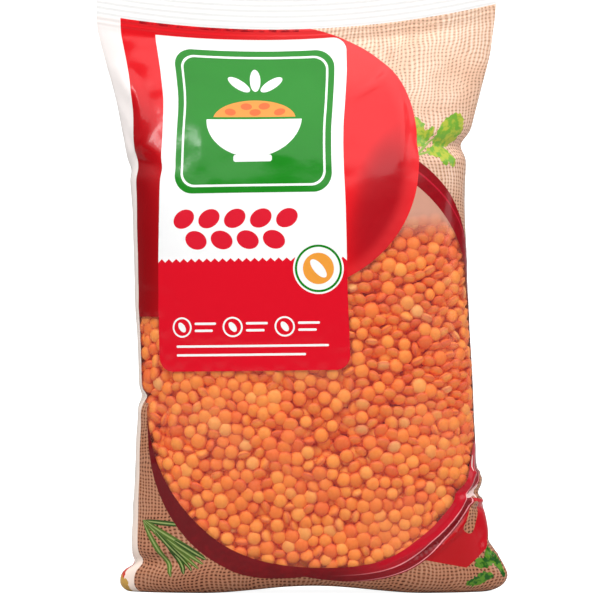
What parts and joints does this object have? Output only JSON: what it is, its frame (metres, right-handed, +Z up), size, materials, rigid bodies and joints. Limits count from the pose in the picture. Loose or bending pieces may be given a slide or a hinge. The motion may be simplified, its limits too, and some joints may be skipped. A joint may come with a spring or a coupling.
{
  "type": "bag of lentils",
  "caption": "Sealed pillow bag of printed clear film, full of red lentils, standing upright on its folded base with a flat seal across the top.",
  "frame": {"origin": "on the floor, under the middle of the bag", "axes": "+Z up along the bag's height, -Y out of the printed front, +X to the right as seen from the front"},
  "size_m": [0.144, 0.049, 0.2158],
  "materials": {
    "film": "glossy printed polypropylene film with a clear window",
    "lentils": "dry hulled red lentils, satin"
  },
  "bodies": {
    "root": {"bag": "film"}
  },
  "joints": []
}
